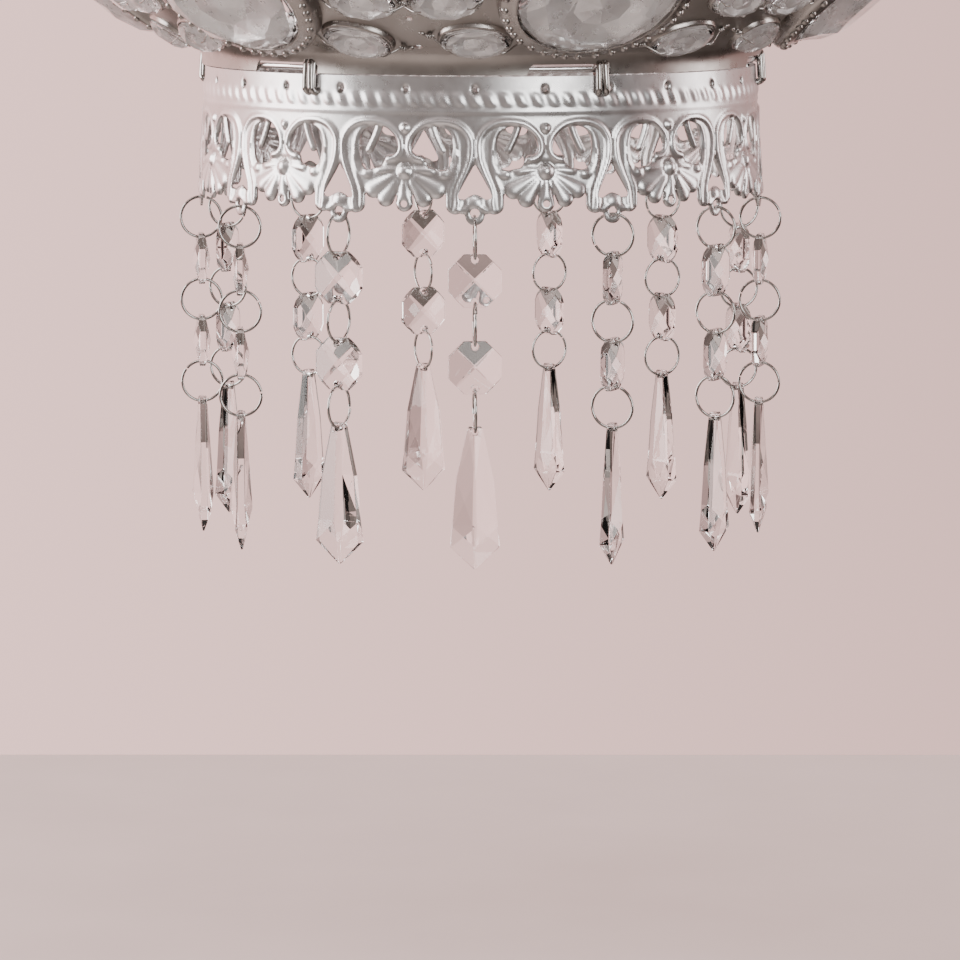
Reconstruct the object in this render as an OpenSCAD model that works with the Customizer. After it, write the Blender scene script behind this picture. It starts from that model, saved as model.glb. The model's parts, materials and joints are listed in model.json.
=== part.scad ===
// Small crystal chandelier shade: a jewelled sheet-metal bowl that hangs from a lampholder
// ring, with a stamped gallery band round its neck and a fringe of crystal strings.
// Millimetres, +Z up. The origin is the centre of the lampholder ring.
// Azimuths are degrees about +Z, counted from the front (-Y) towards +X.

/* [Fitter ring and spider] */
// Radius of the hole that a lampholder passes through
lamp_ring_bore_r = 21; // [14:0.5:22]
// Outer radius of the lampholder ring
lamp_ring_r = 27; // [25.5:0.5:30]
// Thickness of the lampholder ring, which is centred on the origin
lamp_ring_h = 3; // [3:0.5:4]
// Width of each spider arm
arm_w = 8; // [6:1:10]
// Thickness of each spider arm
arm_t = 1.6; // [1.2:0.2:2]

/* [Bowl] */
// Radius of the sphere that the bowl is part of
bowl_r = 156; // [154:1:158]
// Height of the bowl, from the top of the gallery band to the rolled rim
bowl_h = 60.8; // [59:0.2:61]
// Thickness of the bowl sheet
bowl_t = 0.8; // [0.6:0.1:1]
// Depth of the gallery band's top edge below the origin
neck_depth = 74; // [74:0.5:80]

/* [Stones] */
// Radius of the six large stones
big_stone_r = 21.5; // [19:0.5:21.5]
// Height of a large stone above its bezel floor
big_stone_h = 8; // [6:0.5:10]
// Length of a small oval stone
oval_l = 18; // [16:0.5:18]
// Width of a small oval stone
oval_w = 13; // [11:0.5:13]
// Height of a small oval stone above its cup
oval_h = 3.4; // [3:0.2:5]

/* [Gallery band] */
// Number of palmette lobes, and so of crystal strings
lobes = 13; // [13:1:13]
// Radius of the band at its top edge
band_top_r = 76; // [75.8:0.1:76.2]
// Radius of the band at its eyelets
hang_r = 78; // [77.5:0.1:78.5]
// Thickness of the band sheet
band_t = 0.6; // [0.5:0.1:0.7]
// Depth of the eyelet holes below the band's top edge
eyelet_v = 35.6; // [35:0.1:36]
// Radius of an eyelet hole
eyelet_hole_r = 1.25; // [1.2:0.05:1.3]

/* [Crystal strings] */
// Radius of a split ring, to the middle of its wire
link_r = 5.6; // [5.4:0.1:5.6]
// Radius of the split ring's wire
link_wire_r = 0.4; // [0.35:0.05:0.4]
// Size of an octagon across its flats
octagon_w = 14; // [13.6:0.1:14]
// Thickness of an octagon at its middle
octagon_t = 5; // [4:0.5:6]
// Thickness of an octagon at its edge
octagon_edge_t = 1.5; // [1.2:0.1:1.8]
// Length of the drop
drop_l = 38; // [36:1:40]
// Greatest width of the drop
drop_w = 13; // [12:0.5:13]
// Greatest thickness of the drop
drop_t = 6; // [5:0.5:7]

/* [Hidden] */
$fn = 48;

// Colours of the finishes
silver = [0.80, 0.80, 0.82];
pewter = [0.50, 0.46, 0.43];
crystal = [0.90, 0.91, 0.94, 0.6];

// Heights
band_z = -neck_depth;                 // top edge of the gallery band
rim_z = band_z + bowl_h;              // top edge of the bowl sheet
bowl_cz = band_z + 140.8;             // centre of the bowl's sphere
lip_r = 77.4;                         // outside of the short lip round the bowl's mouth
lip_gap = 0.4;                        // gap between that lip and the band below it
lip_h = 5;                            // height of that lip
rim_r = sqrt(pow(bowl_r - bowl_t / 2, 2) - pow(bowl_cz - rim_z, 2));

// Neck ring: a round wire hoop inside the lip
neck_wire_r = 1.1;
neck_ring_r = 75.2;
neck_ring_z = band_z + 1.9;

// Large stones: set by hand, about 60 degrees apart
big_az = [17, 77, 137, 197, 257, 320];
big_theta = 41.1;
bezel_r = 24;
bezel_floor = 1.4;
bezel_rim_h = 3.0;

// Notches in the bowl's lip under the large stones, and the tie near the end of each
notch_az = [for (k = [0:5]) 9.2 + 60 * k];
notch_span = 16.9;
notch_h = 3.2;
tie_offset = 15.1;
tie_wire_r = 0.45;

// Small stones: their cups' size and clearance over the sheet, and the wire's size
cup_margin = 1.2;
cup_t = 0.9;
cup_gap = 0.05;
wire_r = 0.28;

// Gallery band: small holes under the top edge, and the rope moulding
top_hole_v = 3.3;
top_hole_r = 0.7;
bead_v = 6.5;
bead_half = 2.5;
bead_h = 0.5;
eyelet_boss_r = 2.6;

// Strings: clearances where the rings pass through sheet and crystal
string_az0 = -1.2;
lobe_pitch = 360 / lobes;
eyelet_slack = 0.72;
octagon_slack = 0.33;
drop_slack = 0.15;
octagon_hole_r = 0.9;
octagon_hole_gap = 11;
drop_hole_r = 0.8;
drop_hole_depth = 1.5;
drop_belly = 0.84;                    // how far down the drop its greatest width is
drop_ridge = 0.7;                     // how far down the ridge on each face ends

// Quarter turn or less by which each string hangs turned about its own vertical line
string_twist = [4, 45, 8, -4, 0, -20, -45, 15, 20, 0, 3, -33, 0];

function two_digits(k) = str(k < 9 ? "0" : "", k + 1);
function string_az(k) = string_az0 + lobe_pitch * k;
function band_r_at(v) = band_top_r + (hang_r - band_top_r) * v / eyelet_v;
// How far the rope moulding stands out of the band's cone at depth v
function bead_bulge(v) =
    abs(v - bead_v) < bead_half ? bead_h * pow(cos(90 * (v - bead_v) / bead_half), 2) : 0;

// Small stones as [azimuth, angle from the bowl's lowest point, tilt], row by row
gap_az0 = -11.5;
row4_az0 = 24.5;
row1_tilt = [-24, -6, 18, -10, 8, 14, -12, 6, -18, 10, -8, 12];
row1 = [for (k = [0:5]) for (s = [0, 1])
    [gap_az0 + 60 * k + (s == 0 ? -10.5 : 10.5), 33.2, row1_tilt[2 * k + s]]];
row2 = [for (k = [0:5]) for (s = [-1, 1]) [gap_az0 + 60 * k + 6.2 * s, 39.8, 6 * s]];
row3 = [for (k = [0:5]) for (s = [-1, 0, 1]) [gap_az0 + 60 * k + 11.5 * s, 46.2, -8 * s]];
row4 = [for (k = [0:29]) [row4_az0 + 12 * k, 52.6, k % 2 == 0 ? 5 : -5]];
small_stones = concat(row1, row2, row3, row4);

// ---------- shared shapes ----------

// A closed faceted solid through rings of points, the lowest ring first
module loft(rings) {
    n = len(rings[0]);
    m = len(rings);
    points = [for (ring = rings) each ring];
    sides = [for (i = [0:m - 2]) for (j = [0:n - 1])
        let (a = i * n + j, b = i * n + (j + 1) % n)
        each [[a, a + n, b + n], [a, b + n, b]]];
    floor_face = [for (j = [0:n - 1]) j];
    top_face = [for (j = [n - 1:-1:0]) (m - 1) * n + j];
    polyhedron(points, concat([floor_face], sides, [top_face]));
}

// n points round an oval at height z, the first one at angle a0
function oval_ring(n, rx, ry, z, a0 = 0) =
    [for (j = [0:n - 1]) [rx * cos(a0 + 360 * j / n), ry * sin(a0 + 360 * j / n), z]];

// Local frame on the bowl: x along the parallel, y up the slope, z straight out
module on_bowl(azimuth, theta, tilt = 0) {
    translate([0, 0, bowl_cz])
        rotate([0, 0, azimuth])
            rotate([180 - theta, 0, 0])
                translate([0, 0, bowl_r])
                    rotate([0, 0, tilt])
                        children();
}

// Local frame at a radius: x along the parallel, y up, and the solid runs outwards
module radial_prism(azimuth, radius, depth) {
    rotate([0, 0, azimuth])
        translate([0, -radius + depth / 2, band_z])
            rotate([90, 0, 0])
                linear_extrude(depth)
                    children();
}

// Four-arc oval
module oval_2d(l, w) {
    side_r = (l * l / 4 + w * w / 4) / w * 1.06;
    intersection() {
        translate([0, w / 2 - side_r]) circle(side_r);
        translate([0, side_r - w / 2]) circle(side_r);
        square([l, w + 2], center = true);
    }
}

// ---------- fitter ring, spider and rim ----------

arm_az = [60, 180, 300];
arm_inner_x = 22.5;
arm_outer_x = 131;
arm_top_z = -lamp_ring_h / 2;
ledge_t = 1.2;
ledge_in_r = 124;
ledge_top_z = rim_z + 2.6;
rivet_r = 1.3;
rivet_head_r = 2.4;
rivet_head_h = 0.9;
inner_rivet_x = 24.6;
outer_rivet_x = 128;

module shade_ring() {
    color(silver)
        difference() {
            translate([0, 0, -lamp_ring_h / 2]) cylinder(h = lamp_ring_h, r = lamp_ring_r);
            translate([0, 0, -lamp_ring_h]) cylinder(h = 2 * lamp_ring_h, r = lamp_ring_bore_r);
            for (az = arm_az) rivet_hole(az, inner_rivet_x, -lamp_ring_h, 2 * lamp_ring_h);
        }
}

module rivet_hole(azimuth, x, z, h) {
    rotate([0, 0, azimuth]) translate([0, -x, z]) cylinder(h = h, r = rivet_r);
}

// Side view of one arm: flat under the ring, a long slope, flat on the rim's ledge
module arm_profile() {
    bend_in_x = 40;
    bend_out_x = 122;
    low_z = ledge_top_z + arm_t;
    polygon([
        [arm_inner_x, arm_top_z], [bend_in_x, arm_top_z], [bend_out_x, low_z],
        [arm_outer_x, low_z], [arm_outer_x, low_z - arm_t], [bend_out_x, low_z - arm_t],
        [bend_in_x, arm_top_z - arm_t], [arm_inner_x, arm_top_z - arm_t]
    ]);
}

module spider_arms() {
    color(silver)
        for (az = arm_az)
            difference() {
                rotate([0, 0, az])
                    translate([arm_w / 2, 0, 0])
                        rotate([0, 0, -90]) rotate([90, 0, 0])
                            linear_extrude(arm_w) arm_profile();
                rivet_hole(az, inner_rivet_x, -30, 40);
                rivet_hole(az, outer_rivet_x, -30, 40);
            }
}

// A rivet from z_low to z_high of the clamped stack, with a flat head at each end
module rivet(azimuth, x, z_low, z_high) {
    rotate([0, 0, azimuth])
        translate([0, -x, z_low]) {
            cylinder(h = z_high - z_low, r = rivet_r);
            translate([0, 0, -rivet_head_h]) cylinder(h = rivet_head_h, r = rivet_head_r);
            translate([0, 0, z_high - z_low]) cylinder(h = rivet_head_h, r1 = rivet_head_r, r2 = 1.5);
        }
}

module arm_rivets() {
    color(silver)
        for (az = arm_az) {
            rivet(az, inner_rivet_x, arm_top_z - arm_t, lamp_ring_h / 2);
            rivet(az, outer_rivet_x, ledge_top_z - ledge_t, ledge_top_z + arm_t);
        }
}

// Rolled rim: a round bead over the edge of the sheet, with a flat ledge inside it
module top_rim() {
    bead = 2.4;
    color(silver)
        difference() {
            rotate_extrude($fn = 96)
                difference() {
                    union() {
                        translate([rim_r, rim_z + 1.6]) circle(bead);
                        translate([ledge_in_r, ledge_top_z - ledge_t]) square([rim_r - ledge_in_r, ledge_t]);
                    }
                    translate([rim_r - 6, rim_z - 6]) square([12, 6]);
                }
            for (az = arm_az) rivet_hole(az, outer_rivet_x, -30, 40);
        }
}

// ---------- bowl ----------

module bowl_shell() {
    color(pewter)
        difference() {
            rotate_extrude($fn = 192)
                union() {
                    intersection() {
                        difference() {
                            translate([0, bowl_cz]) circle(bowl_r);
                            translate([0, bowl_cz]) circle(bowl_r - bowl_t);
                        }
                        translate([lip_r - bowl_t, band_z]) square([rim_r, bowl_h]);
                    }
                    translate([lip_r - bowl_t, band_z + lip_gap]) square([bowl_t, lip_h]);
                }
            for (az = notch_az)
                rotate([0, 0, az])
                    translate([0, 0, band_z - 1])
                        rotate([0, 0, -90])
                            rotate_extrude(angle = notch_span)
                                translate([lip_r - 2, 0]) square([4.2, notch_h + 1]);
        }
}

module neck_ring() {
    color(silver)
        translate([0, 0, neck_ring_z])
            rotate_extrude($fn = 96)
                translate([neck_ring_r, 0]) circle(neck_wire_r);
}

// ---------- stones ----------

// The bowl's outer sphere in the local frame of on_bowl
module bowl_ball() {
    translate([0, 0, -bowl_r]) rotate([90, 0, 0]) sphere(bowl_r, $fn = 256);
}

module large_bezels() {
    color(pewter)
        for (az = big_az)
            on_bowl(az, big_theta)
                difference() {
                    union() {
                        translate([0, 0, -3]) cylinder(h = 3 + bezel_floor, r = bezel_r);
                        cylinder(h = bezel_rim_h, r = bezel_r - 0.8);
                    }
                    translate([0, 0, bezel_floor]) cylinder(h = 5, r = big_stone_r + 0.15);
                    bowl_ball();
                }
}

module large_crystals() {
    sides = 16;
    color(crystal)
        for (az = big_az)
            on_bowl(az, big_theta)
                translate([0, 0, bezel_floor])
                    loft([
                        oval_ring(sides, big_stone_r - 1, big_stone_r - 1, 0),
                        oval_ring(sides, big_stone_r, big_stone_r, 1.6),
                        oval_ring(sides, 0.8 * big_stone_r, 0.8 * big_stone_r, 0.7 * big_stone_h),
                        oval_ring(sides, 0.45 * big_stone_r, 0.45 * big_stone_r, big_stone_h)
                    ]);
}

module stone_cups() {
    color(pewter)
        for (s = small_stones)
            on_bowl(s[0], s[1], s[2])
                translate([0, 0, cup_gap])
                    linear_extrude(cup_t - cup_gap)
                        oval_2d(oval_l + 2 * cup_margin, oval_w + 2 * cup_margin);
}

module small_crystals() {
    sides = 10;
    color(crystal)
        for (s = small_stones)
            on_bowl(s[0], s[1], s[2])
                translate([0, 0, cup_t])
                    loft([
                        oval_ring(sides, 0.44 * oval_l, 0.44 * oval_w, 0),
                        oval_ring(sides, 0.5 * oval_l, 0.5 * oval_w, 0.35 * oval_h),
                        oval_ring(sides, 0.27 * oval_l, 0.27 * oval_w, oval_h)
                    ]);
}

// A bent wire at each end of each small stone, from the stone's tip down to the cup
module stone_wires() {
    reach = 0.8;
    color(silver)
        for (s = small_stones)
            for (side = [0, 180])
                on_bowl(s[0], s[1], s[2])
                    rotate([0, 0, side])
                        translate([oval_l / 2 + 0.05, 0, cup_t])
                            rotate([90, 0, 0])
                                rotate_extrude(angle = 90, $fn = 24)
                                    translate([reach, 0]) circle(wire_r);
}

// ---------- gallery band ----------

// What is cut away round one hang point: u along the band, height up, band top at 0
module band_cuts_2d() {
    half_cell = 18.9;
    edge_v = 30.4;
    // below the lower outline, less the rounded feet, petals and eyelet boss
    difference() {
        translate([-half_cell, -44]) square([2 * half_cell, 44 - edge_v]);
        translate([0, -eyelet_v]) circle(eyelet_boss_r);
        translate([0, -33]) circle(3.6);
        for (side = [-1, 1]) {
            translate([5.2 * side, -32.6]) circle(2.8);
            translate([8.9 * side, -28.6]) circle(2.7);
            translate([12.9 * side, -31]) circle(2.7);
            translate([16.2 * side, -31.9]) circle(2.5);
            translate([18.85 * side, -32.9]) circle(2.6);
        }
    }
    // teardrop over the eyelet
    intersection() {
        translate([-7.6, -31.2]) circle(12);
        translate([7.6, -31.2]) circle(12);
        translate([-5, -31]) square([10, 9]);
    }
    // the two scroll openings, each with its curled end left in place
    for (side = [-1, 1])
        difference() {
            union() {
                translate([9.7 * side, -17]) circle(4.4);
                translate([8.2 * side, -20.4]) circle(2.9);
            }
            translate([12.6 * side, -20.6]) circle(1.9);
        }
}

module gallery_band() {
    low_v = 41;
    half_t = band_t / 2;
    band_steps = concat([0], [for (i = [0:8]) bead_v + bead_half * (i / 4 - 1)], [low_v]);
    color(silver)
        difference() {
            rotate_extrude($fn = 192)
                polygon(concat(
                    [for (v = band_steps) [band_r_at(v) + half_t + bead_bulge(v), band_z - v]],
                    [for (i = [len(band_steps) - 1:-1:0]) let (v = band_steps[i])
                        [band_r_at(v) - half_t + bead_bulge(v), band_z - v]]
                ));
            for (k = [0:lobes - 1])
                radial_prism(string_az(k), hang_r, 8) band_cuts_2d();
            for (k = [0:lobes - 1])
                radial_prism(string_az(k), hang_r, 8)
                    translate([0, -eyelet_v]) circle(eyelet_hole_r);
            for (k = [0:2 * lobes - 1])
                radial_prism(string_az0 + lobe_pitch * k / 2, hang_r, 10)
                    translate([0, -top_hole_v]) circle(top_hole_r);
            for (az = notch_az)
                radial_prism(az + tie_offset, hang_r, 10)
                    translate([0, -top_hole_v]) circle(top_hole_r);
        }
}

// One wire link: two half turns joined by two straight legs, in the local x-y plane
module wire_link(span, turn_r, r) {
    for (end = [0, 1])
        translate([0, end * span, 0])
            rotate([0, 0, end == 1 ? 0 : 180])
                rotate_extrude(angle = 180, $fn = 24)
                    translate([turn_r, 0]) circle(r);
    for (side = [-1, 1])
        translate([side * turn_r, 0, 0])
            rotate([-90, 0, 0])
                cylinder(h = span, r = r);
}

// A tie hooks over the neck ring and through its own hole in the band
module band_ties() {
    turn_r = neck_wire_r + tie_wire_r + 0.05;
    low_z = band_z - top_hole_v + turn_r;
    low_r = band_r_at(top_hole_v);
    lean = atan2(low_r - neck_ring_r, neck_ring_z - low_z);
    span = norm([low_r - neck_ring_r, neck_ring_z - low_z]);
    color(silver)
        for (az = notch_az)
            rotate([0, 0, az + tie_offset])
                translate([0, -low_r, low_z])
                    rotate([-lean, 0, 0])
                        rotate([90, 0, 90])
                            wire_link(span, turn_r, tie_wire_r);
}

// ---------- crystal strings ----------

// Depths below the eyelet hole's centre
ring1_z = -eyelet_slack - link_r;
octagon1_z = ring1_z - link_r - octagon_slack - octagon_hole_gap / 2;
ring2_z = octagon1_z - octagon_hole_gap / 2 - octagon_slack - link_r;
octagon2_z = ring2_z - link_r - octagon_slack - octagon_hole_gap / 2;
ring3_z = octagon2_z - octagon_hole_gap / 2 - octagon_slack - link_r;
drop_hole_z = ring3_z - link_r - drop_slack;

// Local frame of string k: origin in the eyelet, x along the parallel, -y outwards
module on_string(k) {
    rotate([0, 0, string_az(k)])
        translate([0, -hang_r, band_z - eyelet_v])
            rotate([0, 0, string_twist[k]])
                children();
}

module split_ring(z) {
    translate([0, 0, z])
        rotate([0, 90, 0])
            rotate_extrude($fn = 48)
                translate([link_r, 0]) circle(link_wire_r, $fn = 24);
}

module rings(k) {
    color(silver)
        on_string(k) {
            split_ring(ring1_z);
            split_ring(ring2_z);
            split_ring(ring3_z);
        }
}

// An octagonal plate whose two faces are low four-sided pyramids
module octagon(z) {
    slope = (octagon_t - octagon_edge_t) / octagon_w;
    pyramid_r = octagon_t / 2 / slope * sqrt(2);
    apex_r = 0.2;
    translate([0, 0, z])
        rotate([90, 0, 0])
            difference() {
                intersection() {
                    linear_extrude(octagon_t, center = true)
                        rotate(22.5) circle(octagon_w / 2 / cos(22.5), $fn = 8);
                    loft([
                        oval_ring(4, apex_r, apex_r, -octagon_t / 2, 45),
                        oval_ring(4, pyramid_r, pyramid_r, 0, 45),
                        oval_ring(4, apex_r, apex_r, octagon_t / 2, 45)
                    ]);
                }
                for (end = [-1, 1])
                    translate([0, end * octagon_hole_gap / 2, -octagon_t])
                        cylinder(h = 2 * octagon_t, r = octagon_hole_r);
            }
}

module octagons(k) {
    color(crystal)
        on_string(k) {
            octagon(octagon1_z);
            octagon(octagon2_z);
        }
}

// Six-sided section of the drop: a ridge on each face and a flat edge on each side
function drop_section(w, t, edge_t, z) = [
    [w / 2, -edge_t / 2, z], [w / 2, edge_t / 2, z], [0, t / 2, z],
    [-w / 2, edge_t / 2, z], [-w / 2, -edge_t / 2, z], [0, -t / 2, z]
];

module drop(k) {
    top_z = drop_hole_z + drop_hole_depth;
    color(crystal)
        on_string(k)
            difference() {
                translate([0, 0, top_z])
                    loft([
                        drop_section(0.6, 0.5, 0.3, -drop_l),
                        drop_section(drop_w, 0.56 * drop_t, 0.5 * drop_t, -drop_belly * drop_l),
                        drop_section(0.925 * drop_w, drop_t, 0.4 * drop_t, -drop_ridge * drop_l),
                        drop_section(0.76 * drop_w, 0.72 * drop_t, 0.32 * drop_t, -0.37 * drop_l),
                        drop_section(3.8, 2.4, 1.8, -0.4),
                        drop_section(3.2, 2, 1.5, 0)
                    ]);
                translate([0, drop_t, drop_hole_z])
                    rotate([90, 0, 0])
                        cylinder(h = 2 * drop_t, r = drop_hole_r);
            }
}

// ---------- nodes ----------

shade_ring();
spider_arms();
arm_rivets();
top_rim();
bowl_shell();
neck_ring();
large_bezels();
large_crystals();
stone_cups();
small_crystals();
stone_wires();
gallery_band();
band_ties();
for (k = [0:lobes - 1])
    rings(k);
for (k = [0:lobes - 1])
    octagons(k);
for (k = [0:lobes - 1])
    drop(k);
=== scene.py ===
import json
import math

import bmesh
import bpy
import numpy as np
from mathutils import Matrix, Vector

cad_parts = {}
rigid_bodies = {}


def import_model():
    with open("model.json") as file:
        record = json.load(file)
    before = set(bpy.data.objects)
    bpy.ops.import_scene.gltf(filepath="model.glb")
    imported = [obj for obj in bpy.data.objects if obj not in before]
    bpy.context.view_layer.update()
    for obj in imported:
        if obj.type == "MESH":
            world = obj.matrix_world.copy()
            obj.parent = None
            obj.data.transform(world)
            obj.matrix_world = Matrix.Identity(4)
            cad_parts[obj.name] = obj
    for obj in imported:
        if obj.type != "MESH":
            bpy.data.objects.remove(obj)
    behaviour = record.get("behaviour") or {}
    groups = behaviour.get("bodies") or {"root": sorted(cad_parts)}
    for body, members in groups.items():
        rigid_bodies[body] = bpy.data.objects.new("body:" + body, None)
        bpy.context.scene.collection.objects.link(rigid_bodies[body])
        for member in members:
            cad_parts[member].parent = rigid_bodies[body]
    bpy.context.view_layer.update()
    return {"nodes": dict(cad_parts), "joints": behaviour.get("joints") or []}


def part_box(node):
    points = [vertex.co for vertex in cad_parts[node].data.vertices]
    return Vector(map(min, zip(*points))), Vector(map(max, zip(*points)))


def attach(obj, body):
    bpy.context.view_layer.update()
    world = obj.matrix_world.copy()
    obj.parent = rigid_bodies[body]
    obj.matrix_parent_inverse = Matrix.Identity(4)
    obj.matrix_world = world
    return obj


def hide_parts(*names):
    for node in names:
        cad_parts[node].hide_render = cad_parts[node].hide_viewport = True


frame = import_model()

# ---------------------------------------------------------------- sizes, in millimetres

MM = 0.001
ROOT = frame["joints"][0]["parent"]
JOINTS = {joint["name"]: joint for joint in frame["joints"]}
STRINGS = sum(name.startswith("rings_") for name in frame["nodes"])

BAND_Z = np.array(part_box("gallery_band")[1])[2] / MM      # top edge of the gallery band
BAND_TOP_R = 76.0
HANG_R = 78.0                      # radius at which the strings hang
EYELET_V = 35.6                    # depth of the eyelet holes below the band's top edge
BAND_T = 0.6
STRING_AZ0 = -1.2                  # azimuth of the first string, from the front towards +X
LOBE_PITCH = 2 * math.pi * HANG_R / STRINGS

BOWL_R = 156.0                     # radius of the bowl's sphere
BOWL_T = 0.8
NECK_R = 80.6                      # radius at which the sphere runs out into the lip
BOWL_CZ = BAND_Z + 140.8           # height of that sphere's centre
RIM_Z = BAND_Z + 60.8
RIM_R = math.sqrt((BOWL_R - BOWL_T / 2) ** 2 - (BOWL_CZ - RIM_Z) ** 2)
RIM_BEAD_R = 2.4                   # the rolled edge
LEDGE_IN_R = 124.0
LIP_R = 77.4
LIP_GAP = 0.4

BIG_STONES = [17, 77, 137, 197, 257, 320]      # azimuths of the large stones
BIG_THETA = 41.1                   # their angle from the bowl's lowest point
BEZEL_FLOOR = 1.4
BIG_R = 21.4
BIG_H = 7.4
BEZEL_R = 26.3

OVAL_L, OVAL_W, OVAL_H = 18.0, 13.0, 3.5
CUP_T = 0.6

NOTCHES = [9.2 + 60 * k for k in range(6)]      # azimuths at which the notches in the bowl's lip start
NOTCH_SPAN, NOTCH_H = 16.9, 3.2
TIE_OFFSET = 15.1                  # degrees from a notch's start to its wire tie
TIE_WIRE_R = 0.95
TOP_HOLE_V = 3.3
NECK_RING_R = 75.2
NECK_RING_Z = BAND_Z + 1.9

LINK_R = 5.6
LINK_WIRE_R = 0.4
RING_SPLIT = 0.4


# ---------------------------------------------------------------- mesh helpers


def add_object(name, verts, faces, material, sharp=None):
    """A mesh object from points in millimetres.

    Edges sharper than the angle sharp stay crisp; without it every facet is flat.
    """
    mesh = bpy.data.meshes.new(name)
    mesh.from_pydata((np.asarray(verts, float) * MM).tolist(), [], [list(map(int, f)) for f in faces])
    mesh.materials.append(material)
    piece = bpy.data.objects.new(name, mesh)
    bpy.context.scene.collection.objects.link(piece)
    if sharp is not None:
        mesh.shade_smooth()
        mesh.set_sharp_from_angle(angle=math.radians(sharp))
    mesh.validate()
    return piece


def turn_outwards(piece):
    """Gives every closed shell of a piece outward normals."""
    work = bmesh.new()
    work.from_mesh(piece.data)
    bmesh.ops.recalc_face_normals(work, faces=work.faces)
    work.to_mesh(piece.data)
    work.free()
    return piece


class Shells:
    """Collects several closed shells into one piece."""

    def __init__(self):
        self.verts, self.faces = [], []
        self.count = 0

    def add(self, verts, faces):
        verts = np.asarray(verts, float)
        self.verts.append(verts)
        self.faces.extend([[i + self.count for i in face] for face in faces])
        self.count += len(verts)

    def build(self, name, material, sharp=None):
        return turn_outwards(add_object(name, np.concatenate(self.verts), self.faces, material, sharp))


def smooth_path(points, steps=5, closed=False):
    """Catmull-Rom curve through points, with a few steps between neighbours."""
    pts = np.asarray(points, float)
    n = len(pts)
    if closed:
        pad = np.vstack([pts[-1], pts, pts[0], pts[1]])
    else:
        pad = np.vstack([2 * pts[0] - pts[1], pts, 2 * pts[-1] - pts[-2]])
    spans = n if closed else n - 1
    out = []
    for i in range(spans):
        p0, p1, p2, p3 = pad[i:i + 4]
        for t in np.linspace(0, 1, steps, endpoint=False):
            out.append(0.5 * (2 * p1 + (p2 - p0) * t + (2 * p0 - 5 * p1 + 4 * p2 - p3) * t ** 2
                              + (3 * p1 - p0 - 3 * p2 + p3) * t ** 3))
    if not closed:
        out.append(pts[-1])
    return np.array(out)


def tube(path, radius, sides):
    """Verts and faces of a round tube along a path."""
    path = np.asarray(path, float)
    n = len(path)
    tangents = np.gradient(path, axis=0)
    tangents /= np.linalg.norm(tangents, axis=1)[:, None]
    side = np.cross(tangents[0], [0, 0, 1] if abs(tangents[0][2]) < 0.9 else [1, 0, 0])
    verts = []
    for point, tangent in zip(path, tangents):
        side = side - tangent * side.dot(tangent)
        side /= np.linalg.norm(side)
        other = np.cross(tangent, side)
        for k in range(sides):
            angle = 2 * math.pi * k / sides
            verts.append(point + radius * (math.cos(angle) * side + math.sin(angle) * other))
    faces = []
    for i in range(n - 1):
        for k in range(sides):
            a, b = i * sides + k, i * sides + (k + 1) % sides
            faces.append([a, b, b + sides, a + sides])
    faces.append(list(range(sides))[::-1])
    faces.append([(n - 1) * sides + k for k in range(sides)])
    return verts, faces


def rings_solid(rings, cap=True):
    """Verts and faces of a solid through rings that have the same number of points."""
    n = len(rings[0])
    faces = []
    for i in range(len(rings) - 1):
        for j in range(n):
            a, b = i * n + j, i * n + (j + 1) % n
            faces.append([a, b, b + n, a + n])
    if cap:
        faces.append(list(range(n))[::-1])
        faces.append([(len(rings) - 1) * n + j for j in range(n)])
    return np.concatenate([np.asarray(ring, float) for ring in rings]), faces


def revolve(profile, steps):
    """Verts and faces of a closed profile of (radius, z) turned about +Z."""
    profile = np.asarray(profile, float)
    m = len(profile)
    angles = np.linspace(0, 2 * math.pi, steps, endpoint=False)
    verts = [[r * math.sin(a), -r * math.cos(a), z] for a in angles for r, z in profile]
    faces = []
    for i in range(steps):
        j = (i + 1) % steps
        for k in range(m):
            k2 = (k + 1) % m
            faces.append([i * m + k, i * m + k2, j * m + k2, j * m + k])
    return verts, faces


def polar(radius, azimuth, z):
    """Points at a radius, an azimuth in radians from the front towards +X, and a height."""
    x, y = radius * np.sin(azimuth), -radius * np.cos(azimuth)
    return np.stack(np.broadcast_arrays(x, y, z), axis=-1)


def on_bowl(points, azimuth, theta, tilt=0.0):
    """Moves local points onto the bowl: x along the parallel, y up the slope, z straight out.

    Angles are in degrees.
    """
    frame_matrix = (Matrix.Rotation(math.radians(azimuth), 4, "Z")
                    @ Matrix.Rotation(math.radians(180 - theta), 4, "X")
                    @ Matrix.Translation((0, 0, BOWL_R))
                    @ Matrix.Rotation(math.radians(tilt), 4, "Z"))
    m = np.array(frame_matrix)
    moved = np.asarray(points, float) @ m[:3, :3].T + m[:3, 3]
    return moved + [0, 0, BOWL_CZ]


# ---------------------------------------------------------------- materials


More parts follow.
